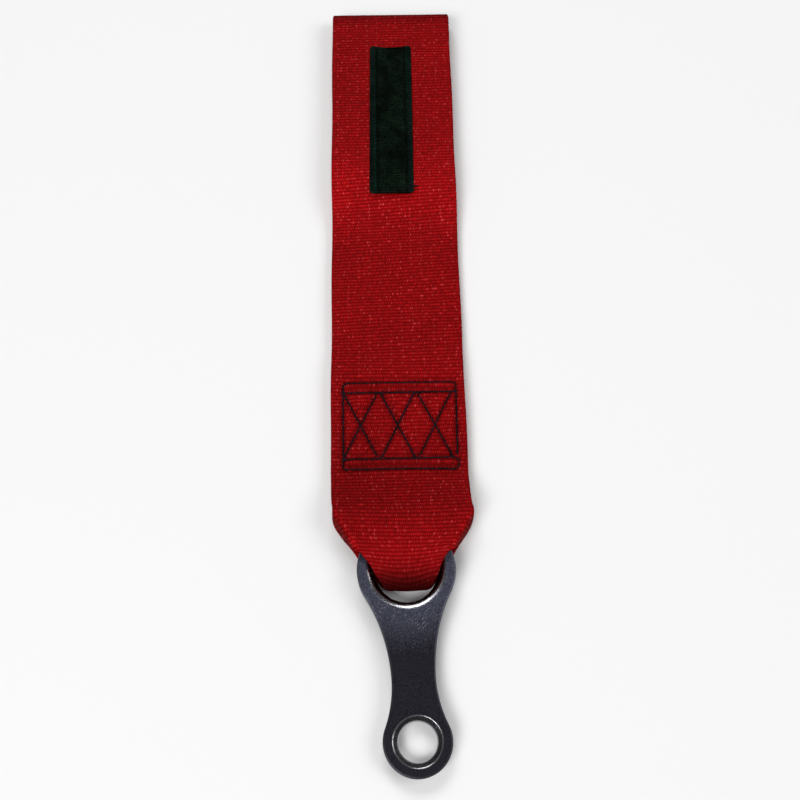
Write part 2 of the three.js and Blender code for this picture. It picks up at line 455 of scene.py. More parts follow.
@dataclass(frozen=True)
class Finish:
    """What every finish has: a name and a roughness."""

    name: str
    roughness: float

    def start(self) -> tuple[bpy.types.Material, Graph, bpy.types.Node]:
        """Start a material with an empty Principled shader.

        Returns:
            The material, its graph and its shader node.
        """
        material = bpy.data.materials.new(self.name)
        material.use_nodes = True
        material.node_tree.nodes.clear()
        graph = Graph(material.node_tree)
        shader = graph.add("ShaderNodeBsdfPrincipled", {"Roughness": self.roughness})
        graph.add("ShaderNodeOutputMaterial", {"Surface": shader.outputs[0]})
        return material, graph, shader


    @staticmethod
    def emboss(graph: Graph, shader: bpy.types.Node, height: Source, depth: float, strength: float) -> None:
        """Give the shader a fine relief.

        Args:
            graph: The finish's tree.
            shader: Its shader node.
            height: The relief's height, about 0 to 1.
            depth: How deep it is, in metres.
            strength: How strongly it shows, from 0 to 1.
        """
        sockets = {"Height": height, "Distance": depth, "Strength": strength}
        graph.feed(shader.inputs["Normal"], graph.add("ShaderNodeBump", sockets).outputs[0])


@dataclass(frozen=True)
class WebbingFinish(Finish):
    """Ribbed polyester webbing, read from its own UV map: across in mm, along in ribs."""

    # Mixed by the weave's height: the groove colour is painted shade in the furrows between ribs, the rib
    # colour painted light on their crests, and the glint colour painted glints on the specks.
    rib: Colour = (0.35, 0.0075, 0.0095, 1.0)
    groove: Colour = (0.166, 0.0008, 0.0014, 1.0)
    glint: Colour = (0.52, 0.06, 0.065, 1.0)
    specular: float = 0.03
    cell: float = 0.66
    column: float = 4.1
    relief: float = 0.00012
    uv: str = "weave"

    def build(self) -> bpy.types.Material:
        """Build the material."""
        material, graph, shader = self.start()
        unwrapped = graph.add("ShaderNodeUVMap", uv_map=self.uv).outputs[0]
        split = graph.add("ShaderNodeSeparateXYZ", {0: unwrapped})
        across, along = split.outputs[0], split.outputs[1]
        weave = WEAVE.place(graph, Across=across, Along=along, Cell=self.cell, Column=self.column)
        where = graph.add("ShaderNodeTexCoord").outputs["Object"]
        dust = DUST.place(graph, Vector=where, Scale=40.0)
        # Painted shade in the furrows, painted light on the crests and painted glints on the specks.
        high = graph.remap(weave["Height"], 0.5, 1.0)
        body = graph.blend_colors(high, self.groove, self.rib)
        lit = graph.blend_colors(graph.math("MULTIPLY", weave["Speck"], 0.42), body, self.glint)
        stretched = graph.vector(graph.math("MULTIPLY", across, 1.4), along)
        threads = graph.remap(graph.noise(stretched, 1.0, 2.0), 0.25, 0.75)
        tone = graph.scaled(dust["Cloud"], 0.44, 0.76)
        for uneven in (
            graph.scaled(threads, 0.6, 0.75),
            graph.scaled(weave["Shade"], 0.32, 0.85),
            # A share of painted light and shade, read from the mesh's attribute.
            graph.fraction("painted_light_and_shade"),
        ):
            tone = graph.math("MULTIPLY", tone, uneven)
        grey = graph.vector(tone, tone, tone)
        shade = graph.add("ShaderNodeVectorMath", {0: lit, 1: grey}, operation="MULTIPLY")
        graph.feed(shader.inputs["Base Color"], shade.outputs[0])
        graph.feed(shader.inputs["Roughness"], graph.scaled(dust["Grain"], 0.2, self.roughness - 0.1))
        shader.inputs["Specular IOR Level"].default_value = self.specular
        height = graph.math("MULTIPLY_ADD", dust["Grain"], 0.25, weave["Height"])
        self.emboss(graph, shader, height, self.relief, 0.45)
        return material


@dataclass(frozen=True)
class ThreadFinish(Finish):
    """Heavy bonded thread, twisted, with a faint shine."""

    dark: Colour = (0.0012, 0.0006, 0.0014, 1.0)
    light: Colour = (0.02, 0.008, 0.017, 1.0)
    specular: float = 0.1
    twist: float = 420.0

    def build(self) -> bpy.types.Material:
        """Build the material."""
        material, graph, shader = self.start()
        where = graph.add("ShaderNodeTexCoord").outputs["Object"]
        dust = DUST.place(graph, Vector=where, Scale=160.0)
        plies = {"Vector": where, "Scale": self.twist, "Distortion": 1.5}
        twist = graph.add("ShaderNodeTexWave", plies, bands_direction="DIAGONAL").outputs[1]
        share = graph.math("MULTIPLY", twist, graph.remap(dust["Cloud"], 0.35, 0.75))
        graph.feed(shader.inputs["Base Color"], graph.blend_colors(share, self.dark, self.light))
        shader.inputs["Specular IOR Level"].default_value = self.specular
        self.emboss(graph, shader, twist, 0.00006, 0.7)
        return material


@dataclass(frozen=True)
class TapeFinish(Finish):
    """Near-black hook-and-loop tape with a green cast, ribbed, with lighter selvedges.

    Its stripes are places in metres from the tape's middle, as (start, end).
    """

    dark: Colour = (0.0008, 0.0022, 0.0012, 1.0)
    light: Colour = (0.01, 0.026, 0.014, 1.0)
    selvedge: Colour = (0.003, 0.022, 0.017, 1.0)
    specular: float = 0.05
    wale: float = 290.0
    middle: float = -0.0006
    seam_stripe: tuple[float, float] = (0.0047, 0.0061)
    selvedge_stripe: tuple[float, float] = (0.0062, 0.0078)
    soft: float = 0.0007

    def build(self) -> bpy.types.Material:
        """Build the material."""
        material, graph, shader = self.start()
        where = graph.add("ShaderNodeTexCoord").outputs["Object"]
        dust = DUST.place(graph, Vector=where, Scale=130.0)
        ribs = {"Vector": where, "Scale": self.wale, "Distortion": 3.0}
        wales = graph.add("ShaderNodeTexWave", ribs, bands_direction="Y").outputs[1]
        across = graph.add("ShaderNodeSeparateXYZ", {0: where}).outputs[0]
        aside = graph.math("ABSOLUTE", graph.math("SUBTRACT", across, self.middle))
        share = graph.math("ADD", wales, 0.3)
        for uneven in (
            graph.remap(dust["Grain"], 0.3, 0.7),
            graph.remap(dust["Cloud"], 0.3, 0.75),
            graph.scaled(graph.band(aside, *self.seam_stripe, self.soft), -0.7, 1.0),
        ):
            share = graph.math("MULTIPLY", share, uneven)
        pile = graph.blend_colors(share, self.dark, self.light)
        stripe = graph.band(aside, *self.selvedge_stripe, self.soft)
        edge = graph.math("MULTIPLY", stripe, graph.scaled(share, 0.6, 0.28))
        graph.feed(shader.inputs["Base Color"], graph.blend_colors(edge, pile, self.selvedge))
        shader.inputs["Specular IOR Level"].default_value = self.specular
        height = graph.math("MULTIPLY_ADD", wales, 0.5, dust["Grain"])
        self.emboss(graph, shader, height, 0.0002, 0.8)
        return material


@dataclass(frozen=True)
class SteelFinish(Finish):
    """Dark zinc plating over a grainy face, with a painted sheen round the large eye, and rims made
    brighter partly by wear and partly by painted highlights.

    Reads the piece's own attribute "rim", which is 1 on the eyes' walls and the edges.
    """

    face: Colour = (0.018, 0.0165, 0.021, 1.0)
    painted_sheen_and_grain: Colour = (0.105, 0.11, 0.16, 1.0)
    rim: Colour = (0.5, 0.5, 0.52, 1.0)
    painted_sheen_from: float = 0.012
    painted_sheen_to: float = 0.031
    eye: tuple[float, float, float] = (0.0, 0.0, 0.0)
    scratch: tuple[float, float, float] = (0.0, 0.0, 0.0)

    def build(self) -> bpy.types.Material:
        """Build the material."""
        material, graph, shader = self.start()
        where = graph.add("ShaderNodeTexCoord").outputs["Object"]
        dust = DUST.place(graph, Vector=where, Scale=120.0)
        # Painted sheen: the face grows lighter towards the large eye.
        near = graph.remap(graph.far(where, self.eye), self.painted_sheen_from, self.painted_sheen_to, 1.0, 0.0)
        speckle = graph.remap(dust["Grain"], 0.34, 0.7)
        share = graph.math("MULTIPLY", near, graph.scaled(speckle, 0.75, 0.3))
        plate = graph.blend_colors(share, self.face, self.painted_sheen_and_grain)
        plate = graph.blend_colors(graph.math("MULTIPLY", speckle, 0.16), plate, self.painted_sheen_and_grain)
        # Painted glints, most of them near the large eye.
        sparkle = graph.remap(graph.noise(where, 2100.0, 2.0), 0.6, 0.74)
        sparkle = graph.math("MULTIPLY", sparkle, graph.scaled(near, 0.4, 0.04))
        plate = graph.blend_colors(sparkle, plate, self.rim)
        plate = graph.blend_colors(self.scratches(graph, where), plate, self.rim)
        # The rim attribute brightens the rims: partly wear, partly painted highlights.
        rim = graph.fraction("rim")
        worn_and_highlit = graph.math("MULTIPLY", rim, graph.remap(dust["Cloud"], 0.2, 0.6, 0.55, 1.0))
        graph.feed(shader.inputs["Base Color"], graph.blend_colors(worn_and_highlit, plate, self.rim))
        shader.inputs["Metallic"].default_value = 1.0
        rough = graph.scaled(speckle, 0.14, self.roughness)
        polish = graph.math("MULTIPLY", graph.remap(rim, 0.0, 0.3), 0.26)
        graph.feed(shader.inputs["Roughness"], graph.math("SUBTRACT", rough, polish))
        height = graph.math("MULTIPLY", dust["Grain"], graph.scaled(rim, -0.8, 1.0))
        self.emboss(graph, shader, height, 0.00022, 0.5)
        return material

    def scratches(self, graph: Graph, where: bpy.types.NodeSocket) -> bpy.types.NodeSocket:
        """Short slanting scratches on the face, past the large eye.

        Args:
            graph: The finish's tree.
            where: The place to read.

        Returns:
            The socket of a mask from 0 to about a half.
        """
        slant = {"Vector": where, "Rotation": (0.0, 0.0, 0.65)}
        turned = graph.add("ShaderNodeMapping", slant, vector_type="POINT").outputs[0]
        strokes = {"Vector": turned, "Scale": 330.0, "Distortion": 3.0, "Detail": 2.0}
        lines = graph.add("ShaderNodeTexWave", strokes).outputs[1]
        fine = graph.remap(lines, 0.86, 0.98)
        patchy = graph.remap(graph.noise(where, 700.0), 0.45, 0.6)
        near = graph.remap(graph.far(where, self.scratch), 0.0015, 0.0034, 0.5, 0.0)
        spot = graph.math("MULTIPLY", near, patchy)
        return graph.math("MULTIPLY", fine, spot)


@dataclass(frozen=True)
class FloorFinish(Finish):
    """A plain pale floor."""

    tone: float = 0.86

    def build(self) -> bpy.types.Material:
        """Build the material."""
        material, _, shader = self.start()
        shader.inputs["Base Color"].default_value = (self.tone, self.tone, self.tone, 1.0)
        return material


def start_tree(name: str, inputs: dict[str, str], output: str) -> tuple[Graph, dict]:
    """Start a Geometry Nodes tree.

    Args:
        name: The tree's name.
        inputs: The kind of each input socket by its name.
        output: The name of the finished geometry's socket.

    Returns:
        The tree's graph and its input sockets by name.
    """
    tree = bpy.data.node_groups.new(name, "GeometryNodeTree")
    tree.is_modifier = True
    for title, kind in inputs.items():
        tree.interface.new_socket(title, in_out="INPUT", socket_type="NodeSocket" + kind)
    tree.interface.new_socket(output, in_out="OUTPUT", socket_type="NodeSocketGeometry")
    graph = Graph(tree)
    entry = graph.add("NodeGroupInput").outputs
    return graph, {title: entry[title] for title in inputs}


def end_tree(graph: Graph, geometry: Source, material: Source) -> bpy.types.NodeTree:
    """Make a tree's instances a plain smooth mesh with its material, and return the tree."""
    real = graph.add("GeometryNodeRealizeInstances", {0: geometry}).outputs[0]
    smooth = graph.add("GeometryNodeSetShadeSmooth", {0: real}).outputs[0]
    coated = {"Geometry": smooth, "Material": material}
    done = graph.add("GeometryNodeSetMaterial", coated).outputs[0]
    graph.feed(graph.add("NodeGroupOutput").inputs[0], done)
    return graph.tree


@dataclass
class StitchRun:
    """Rows of single stitches along paths, made by Geometry Nodes."""

    name: str
    length: float
    width: float
    overlap: float = 0.58
    flatness: float = 0.84

    def tree(self) -> bpy.types.NodeTree:
        """Build the tree that lays a stitch at each step along the given edges."""
        kinds = {
            "Path": "Geometry",
            "Stitch length": "Float",
            "Thread width": "Float",
            "Thread": "Material",
        }
        graph, entry = start_tree(self.name, kinds, "Stitches")
        length, width = entry["Stitch length"], entry["Thread width"]
        curve = graph.add("GeometryNodeMeshToCurve", {0: entry["Path"]}).outputs[0]
        steps = {"Curve": curve, "Length": length}
        even = graph.add("GeometryNodeResampleCurve", steps, mode="LENGTH").outputs[0]
        tangent = graph.add("GeometryNodeInputTangent").outputs[0]
        turn = graph.add("FunctionNodeAlignRotationToVector", {"Vector": tangent}, axis="X").outputs[0]
        round_ball = {"Segments": 8, "Rings": 6, "Radius": 1.0}
        ball = graph.add("GeometryNodeMeshUVSphere", round_ball).outputs[0]
        sides = graph.vector(
            graph.math("MULTIPLY", length, self.overlap),
            graph.math("MULTIPLY", width, 0.5),
            graph.math("MULTIPLY", width, self.flatness / 2),
        )
        grain = graph.add("GeometryNodeTransform", {"Geometry": ball, "Scale": sides}).outputs[0]
        placed = {"Points": even, "Instance": grain, "Rotation": turn}
        laid = graph.add("GeometryNodeInstanceOnPoints", placed).outputs[0]
        return end_tree(graph, laid, entry["Thread"])

    def sew(
        self, shop: Workshop, paths: Sequence[np.ndarray], thread: bpy.types.Material
    ) -> bpy.types.Object:
        """Sew along the paths.

        Args:
            shop: The workshop that places points in the frame.
            paths: Rows of points, in the strap's millimetres.
            thread: The thread's finish.

        Returns:
            The stitches as a plain mesh object.
        """
        points, edges = [], []
        for path in paths:
            first = len(points)
            points.extend(shop.seat.metres(path).tolist())
            edges.extend([first + i, first + i + 1] for i in range(len(path) - 1))
        mesh = bpy.data.meshes.new(self.name + "_path")
        mesh.from_pydata(points, edges, [])
        guide = show(self.name + "_path", mesh)
        values = {
            "Stitch length": self.length * MM,
            "Thread width": self.width * MM,
            "Thread": thread,
        }
        return grow(guide, self.tree(), values, self.name)


def grow(guide: bpy.types.Object, tree: bpy.types.NodeTree, values: dict, name: str) -> bpy.types.Object:
    """Run a Geometry Nodes tree on a guide and keep the result as a plain mesh.

    Args:
        guide: The object that the tree starts from. It is deleted.
        tree: The tree.
        values: The tree's inputs by name.
        name: The new piece's name.

    Returns:
        The new object, with no modifier on it.
    """
    modifier = guide.modifiers.new(tree.name, "NODES")
    modifier.node_group = tree
    for item in tree.interface.items_tree:
        if item.item_type == "SOCKET" and item.in_out == "INPUT" and item.name in values:
            modifier[item.identifier] = values[item.name]
    bpy.context.view_layer.update()
    seen = guide.evaluated_get(bpy.context.evaluated_depsgraph_get())
    mesh = bpy.data.meshes.new_from_object(seen)
    mesh.name = name
    guide.modifiers.remove(modifier)
    bpy.data.objects.remove(guide)
    return show(name, mesh)


@dataclass
class Lay:
    """How the strap and its link lie: the sizes that several pieces share."""

    width: float = 50.0
    thickness: float = 2.0
    fold_end: float = 244.6
    loop_gap: float = 5.2
    sewn_start: float = 36.0
    sewn_length: float = 38.0
    layers_sewn: int = 3
    block_soft: float = 2.5
    settle_length: float = 16.0
    loose_gap: float = 0.6
    loose_length: float = 45.0
    rise_length: float = 27.0
    lean: float = math.radians(2.6)
    seat_gap: float = 0.3
    bight_end: float = -7.0
    link_thickness: float = 6.0
    link_reach: float = 68.25
    eye_end: float = 17.25

    def __post_init__(self) -> None:
        """Work out the heights and places that follow from the sizes."""
        self.eye_height = self.thickness + self.seat_gap
        self.tilt = math.asin(self.eye_height / self.link_reach)
        link_top = self.eye_height + self.eye_end * math.sin(self.tilt)
        link_top += self.link_thickness * math.cos(self.tilt)
        self.over_link = link_top + self.seat_gap + self.thickness
        self.sewn_end = self.sewn_start + self.sewn_length
        self.sewn_top = self.layers_sewn * self.thickness
        self.loose_start = self.sewn_end + self.settle_length
        self.loose_end = self.loose_start + self.loose_length
        self.loose_top = 2 * self.thickness + self.loose_gap
        self.level_start = self.loose_end + self.rise_length
        self.loop_top = self.loop_gap + 2 * self.thickness

    def front_top(self, y: np.ndarray) -> np.ndarray:
        """Height of the front layer's upper face at places along the strap."""
        climb = 1 - smoothstep(y, self.eye_end, self.sewn_start)
        onto_link = (self.over_link - self.sewn_top) * climb
        settle = (self.sewn_top - self.loose_top) * smoothstep(y, self.sewn_end, self.loose_start)
        rise = (self.loop_top - self.loose_top) * smoothstep(y, self.loose_end, self.level_start)
        return self.sewn_top + onto_link - settle + rise

    def in_block(self, y: np.ndarray) -> np.ndarray:
        """Share of 1 in the sewn block and 0 away from it, at places along the strap."""
        begins = smoothstep(y, self.sewn_start - self.block_soft, self.sewn_start)
        return begins * (1 - smoothstep(y, self.sewn_end, self.sewn_end + self.block_soft))

    def lean_at(self, y: np.ndarray) -> np.ndarray:
        """Sideways move of the short loop at places along the strap."""
        return np.maximum(0.0, self.sewn_start - np.asarray(y, float)) * math.tan(self.lean)

    def link_place(self, points: np.ndarray) -> np.ndarray:
        """Turn points of the flat link, its large eye at the origin, to where it lies."""
        tilted = Matrix.Rotation(self.tilt, 4, "X")
        raised = Matrix.Translation((0.0, -self.sewn_start, self.eye_height))
        leaned = Matrix.Translation((0.0, self.sewn_start, 0.0)) @ Matrix.Rotation(self.lean, 4, "Z")
        turn = np.array(leaned @ raised @ tilted)
        return np.asarray(points, float) @ turn[:3, :3].T + turn[:3, 3]


@dataclass
class BoxSewing:
    """The box of rows with crosses side by side that closes the loop."""

    lay: Lay
    left: float = -20.3
    right: float = 21.3
    rows: tuple[float, ...] = (37.4, 41.2, 67.4, 71.2)
    cross_centres: tuple[float, ...] = (-14.0, -0.3, 13.4)
    cross_half: float = 6.4
    stitch: float = 2.4
    thread: float = 0.78
    sink: float = 0.75
    furrow: float = 1.15
    bow_inset: float = 1.1
    bow_reach: float = 1.4

    def lines(self) -> list[np.ndarray]:
        """The sewing seen from above.

        Returns:
            One array of (across, along) points for each run of thread.
        """
        low, inner_low, inner_high, high = self.rows
        half = (inner_low - low) / 2
        middle = (inner_low + low) / 2
        bow_x = self.right - self.bow_inset
        bow = [
            (bow_x + self.bow_reach * math.cos(a), middle + (half + 0.3) * math.sin(a))
            for a in np.linspace(-math.pi / 2, math.pi / 2, 9)
        ]
        around = [(self.left, inner_low), (self.left, low), (0.0, low + 0.15), *bow]
        around += [(6.0, inner_low + 0.1), (self.left + 1.0, inner_low)]
        sides = [(self.left, inner_low), (self.left - 0.2, inner_high), (self.left, high)]
        sides += [(self.right, high), (self.right + 0.3, inner_high), (self.right, inner_low + 2.5)]
        runs = [around, sides, [(self.left, inner_high), (self.right, inner_high)]]
        rising, falling = [], []
        for number, centre in enumerate(self.cross_centres):
            ends = [(centre - self.cross_half, inner_low), (centre + self.cross_half, inner_high)]
            mirrored = [(x, inner_low + inner_high - y) for x, y in ends]
            rising += mirrored if number % 2 else ends
            falling += ends if number % 2 else mirrored
        return [np.array(run, float) for run in (*runs, rising, falling)]

    def dense(self, step: float = 0.6) -> list[np.ndarray]:
        """The runs with a point at every step along them."""
        made = []
        for run in self.lines():
            pieces = [run[:1]]
            for start, end in zip(run[:-1], run[1:]):
                count = max(1, math.ceil(np.linalg.norm(end - start) / step))
                shares = np.arange(1, count + 1)[:, None] / count
                pieces.append(start + (end - start) * shares)
            made.append(np.concatenate(pieces))
        return made

    def distance(self, x: np.ndarray, y: np.ndarray) -> np.ndarray:
        """How far places lie from the nearest run of thread, seen from above."""
        nearest = np.full(x.shape, 1e3)
        for run in self.lines():
            for start, end in zip(run[:-1], run[1:]):
                way = end - start
                share = ((x - start[0]) * way[0] + (y - start[1]) * way[1]) / max(way @ way, 1e-9)
                share = np.clip(share, 0.0, 1.0)
                gap = np.hypot(x - start[0] - share * way[0], y - start[1] - share * way[1])
                nearest = np.minimum(nearest, gap)
        return nearest

    def roll(self, x: np.ndarray, y: np.ndarray) -> np.ndarray:
        """How far the webbing puffs up between the two rows at each end, from 0 to 1."""
        low, inner_low, inner_high, high = self.rows
        across = smoothstep(x, self.left, self.left + 3)
        across = across * (1 - smoothstep(x, self.right - 1, self.right + 1))
        puffs = 0.0
        for start, end in ((low, inner_low), (inner_high, high)):
            share = np.clip((y - start) / (end - start), 0.0, 1.0)
            puffs = puffs + np.sin(share * math.pi)
        return puffs * across

    def build(self, shop: Workshop, web: "Webbing", thread: bpy.types.Material) -> None:
        """Sew the box on the upper face and on the underside."""
        for name, front in (("box_stitches", True), ("box_stitches_under", False)):
            paths = [web.on_face(run, front, self.thread * 0.12) for run in self.dense()]
            piece = StitchRun(name, self.stitch, self.thread).sew(shop, paths, thread)
            shop.join_body(piece, Slot.THREAD, Body.STRAP, ["box_stitching"] if front else [])


@dataclass
class Webbing:
    """The looped band of ribbed webbing, with its lapped end in the sewn block."""

    lay: Lay
    sewing: BoxSewing
    rib_pitch: float = 1.37
    rib_height: float = 0.07
    steps_outside: int = 60
    steps_inside: int = 22
    steps_edge: int = 5
    edge_share: float = 0.035
    # Along the short loop, as (place along the strap, millimetres): the ridges where the front
    # layer's margins fold down, how far the margins spread and drop, and the back's edges.
    ridge_left: Table = (
        (-7, 7.2), (-3.3, 9.8), (0.8, 12.3), (5.1, 15.4), (11.3, 18.9), (20, 24.0), (24, 24.9), (28, 25),
    )
    ridge_right: Table = (
        (-7, 7.4), (-4, 9.3), (-1.5, 10.9), (2.5, 12.9), (6.3, 15.6), (10.5, 18.5), (16, 22),
        (20.7, 24.9), (24, 25),
    )
    spread_left: Table = ((6, 0), (8.5, 1.2), (12, 1.9), (16, 1.3), (20, 0.4), (24, 0))
    spread_right: Table = ((6, 0), (8.5, 1.0), (12.7, 1.6), (16, 2.0), (19.5, 0.9), (23, 0))
    margin_drop: Table = (
        (6.3, 0.2), (8.5, 3), (10.5, 6), (13, 6), (16, 4), (19, 2), (22, 0.6), (24, 0),
    )
    ridge_share: Table = (
        (5.5, 1), (8.5, 0.8), (10.5, 0.76), (13, 0.8), (16, 0.88), (20, 0.97), (24, 1),
    )
    back_edge: Table = (
        (-7, 7.3), (-4, 9.3), (-0.4, 12.3), (3.8, 15.8), (8.4, 18.6), (12.7, 21.9), (17.1, 24.6),
        (19.7, 25.2), (26, 25),
    )
    eye_droop: Table = ((-7, 0.6), (-2.5, 1.2), (0, 0.15), (6, 0.15), (9, 0))
    # Painted light and shade along the front, as shares of the full tone: painted shade where the strap
    # turns down into the link's eye, on the slope between the link and the sewn block and at the fold's
    # edge, and painted light where it rises towards the patch.
    tone: Table = (
        (-7, 0.14), (-5, 0.24), (-3, 0.5), (0, 0.9), (5, 1.07), (12, 0.97), (21, 0.8), (33, 0.78),
        (60, 0.98), (130, 1.0), (148, 1.34), (158, 1.32), (175, 1.02), (236, 0.96), (244, 0.4),
    )
    # Places where the loop would bend between the strap and the link; nothing bends it.
    bend_start: tuple[float, ...] = (0.0, 35.0, 5.0)
    bend_end: tuple[float, ...] = (0.0, 19.5, 5.0)
    fold_corner: float = 1.6
    path: dict = field(default_factory=dict)

    def __post_init__(self) -> None:
        """Lay out the band's middle line, seen from its side."""
        lay = self.lay
        mid = lay.thickness / 2
        bight_radius = lay.over_link / 2
        fold_radius = lay.loop_top / 2
        bight_y = lay.bight_end + bight_radius
        fold_y = lay.fold_end - fold_radius
        turned = np.linspace(0.0, math.pi, 60)[1:-1]
        front_y = np.arange(bight_y, fold_y, 0.2)
        back_y = front_y[::-1]
        rows = [
            np.stack([front_y, lay.front_top(front_y) - mid], axis=-1),
            self.turn(fold_y, fold_radius, mid, math.pi / 2 - turned),
            np.stack([back_y, np.full(back_y.shape, mid)], axis=-1),
            self.turn(bight_y, bight_radius, mid, -math.pi / 2 - turned),
        ]
        line = np.concatenate(rows)
        closed = np.concatenate([line, line[:1]])
        steps = np.hypot(*np.diff(closed, axis=0).T)
        reached = np.concatenate([[0.0], np.cumsum(steps)])
        ahead = np.roll(line, -3, axis=0) - np.roll(line, 3, axis=0)
        ahead /= np.linalg.norm(ahead, axis=1)[:, None]
        self.path = {
            "total": reached[-1],
            "reached": reached[:-1],
            "y": line[:, 0],
            "z": line[:, 1],
            "ny": -ahead[:, 1],
            "nz": ahead[:, 0],
        }
        self.ribs = round(self.path["total"] / self.rib_pitch)

    @staticmethod
    def turn(y: float, radius: float, mid: float, angles: np.ndarray) -> np.ndarray:
        """Points of a half turn of the middle line round a point at half its height."""
        inner = radius - mid
        return np.stack([y + inner * np.cos(angles), radius + inner * np.sin(angles)], axis=-1)

    def along(self, name: str, reached: np.ndarray) -> np.ndarray:
        """Read a value of the middle line at distances along it, round and round."""
        path = self.path
        return np.interp(reached % path["total"], path["reached"], path[name], period=path["total"])

    @staticmethod
    def read(table: Table, y: np.ndarray) -> np.ndarray:
        """Read a table at places along the strap, with its corners eased a little."""
        places, values = np.array(table, float).T
        offsets = np.linspace(-1.2, 1.2, 7)
        return sum(np.interp(y + offset, places, values) for offset in offsets) / len(offsets)

    def skew(self, y: np.ndarray, across: np.ndarray, front: np.ndarray) -> np.ndarray:
        """How far the ribs run ahead at places across the band, in millimetres."""
        slope = 1.2 * smoothstep(y, 70.0, 110.0) * (1 - smoothstep(y, 150.0, 185.0))
        bow = 2.0 * (1 - smoothstep(y, 0.0, 34.0))
        ripple = 0.25 * np.sin(y * 0.21 + 2.0 * across)
        return (slope * across + bow * (across**2 - 0.35) + ripple) * front

    def folding(self, y: np.ndarray) -> tuple[np.ndarray, np.ndarray]:
        """How the front's margins fold at places along the strap.

        Args:
            y: Places along the strap.

        Returns:
            The share of the half-width inside the ridge, and how far the margin is folded,
            from 0 to 1.
        """
        share = self.read(self.ridge_share, y)
        return share, 1 - smoothstep(share, 0.93, 0.995)

    def outline(self, y: np.ndarray, across: np.ndarray, front: np.ndarray) -> np.ndarray:
        """How far the band's points lie from its middle.

        Args:
            y: Places along the strap.
            across: Places across the band, from -1 to 1.
            front: Share of 1 on the front layer and 0 on the back.

        Returns:
            The distances in millimetres, below 0 on the left.
        """
        share, folded = self.folding(y)
        size = np.abs(across)
        into = np.clip((size - share) / np.maximum(1 - share, 0.02), 0.0, 1.0)
        is_left = across < 0
        ridge = np.where(is_left, self.read(self.ridge_left, y), self.read(self.ridge_right, y))
        spread = np.where(is_left, self.read(self.spread_left, y), self.read(self.spread_right, y))
        inner_x = np.minimum(size / share, 1.0) * ridge + spread * into
        front_x = inner_x * folded + size * (ridge + spread) * (1 - folded)
        back_x = size * self.read(self.back_edge, y)
        wear = np.clip(1 - (self.lay.fold_end - y) / self.fold_corner, 0.0, 1.0)
        trim = 1 - self.fold_corner / self.lay.width * 2 * (1 - np.sqrt(1 - wear**2))
        trim = trim + 0.005 * np.sin(y * 0.13 + np.sign(across))
        return np.sign(across) * (front_x * front + back_x * (1 - front)) * trim

    def lift(self, x: np.ndarray, y: np.ndarray, across: np.ndarray, front: np.ndarray) -> np.ndarray:
        """How far the band's points rise out of its plain path.

        Args:
            x: Distances from the band's middle, in millimetres.
            y: Places along the strap.
            across: Places across the band, from -1 to 1.
            front: Share of 1 on the front layer and 0 on the back.

        Returns:
            The rises in millimetres, outwards.
        """
        lay, sewing = self.lay, self.sewing
        share, folded = self.folding(y)
        size = np.abs(across)
        into = np.clip((size - share) / np.maximum(1 - share, 0.02), 0.0, 1.0)
        inward = self.read(self.margin_drop, y) * into * (0.8 + 0.2 * into) * front * folded
        inward = inward + self.read(self.eye_droop, y) * np.maximum(size - 0.8, 0.0) ** 2 * 25
        crown = 0.8 * (1 - smoothstep(y, 12.0, 30.0)) * (1 - np.minimum(size / share, 1.0) ** 2)
        sewn = lay.in_block(y)
        away = sewing.distance(x, y)
        dip = sewing.sink * np.exp(-((away / sewing.furrow) ** 2)) * sewn
        gather = 0.2 * np.exp(-((away / 2.4) ** 2)) * sewn
        puff = 0.5 * sewing.roll(x, y)
        puff = puff + gather * np.sin(2.3 * x + 0.9 * y) * np.sin(0.7 * x - 1.9 * y)
        wave = 0.3 * np.sin(y * 0.085 + 1.3 * across + 0.6) * smoothstep(y, 80.0, 105.0)
        wave = wave * (1 - smoothstep(y, lay.fold_end - 12, lay.fold_end))
        pucker = 0.55 * np.exp(-(((x - 19.5) / 2.5) ** 2 + ((y - 42.8) / 1.6) ** 2))
        return (crown + puff - pucker + wave) * front - inward - dip

    def surface(self, reached: np.ndarray, across: np.ndarray) -> np.ndarray:
        """Points of the band's middle surface.

        Args:
            reached: Distances along the band.
            across: Places across it, from -1 to 1.

        Returns:
            The points, with the coordinates in the last axis.
        """
        is_front = smoothstep(self.along("nz", reached), -0.4, 0.4)
        moved = reached + self.skew(self.along("y", reached), across, is_front)
        y, z = self.along("y", moved), self.along("z", moved)
        ny, nz = self.along("ny", moved), self.along("nz", moved)
        front = smoothstep(nz, -0.4, 0.4)
        x = self.outline(y, across, front)
        lift = self.lift(x, y, across, front)
        y = y + ny * lift
        return np.stack([x + self.lay.lean_at(y), y, z + nz * lift], axis=-1)

    def section(self) -> tuple[np.ndarray, np.ndarray]:
        """Places round the band's section.

        Returns:
            The places across, from -1 to 1, and the share of the half thickness outwards.
        """
        inner = 1 - self.edge_share
        even = np.linspace(-1.0, 1.0, self.steps_outside + 1)
        outside = inner * (0.55 * even + 0.45 * np.sin(even * math.pi / 2))
        inside = np.linspace(inner, -inner, self.steps_inside + 1)
        angles = np.linspace(math.pi / 2, -math.pi / 2, self.steps_edge + 2)[1:-1]
        right = inner + self.edge_share * np.cos(angles)
        across = np.concatenate([outside, right, inside, -right])
        height = np.concatenate(
            [np.ones(outside.shape), np.sin(angles), -np.ones(inside.shape), -np.sin(angles)]
        )
        return across, height

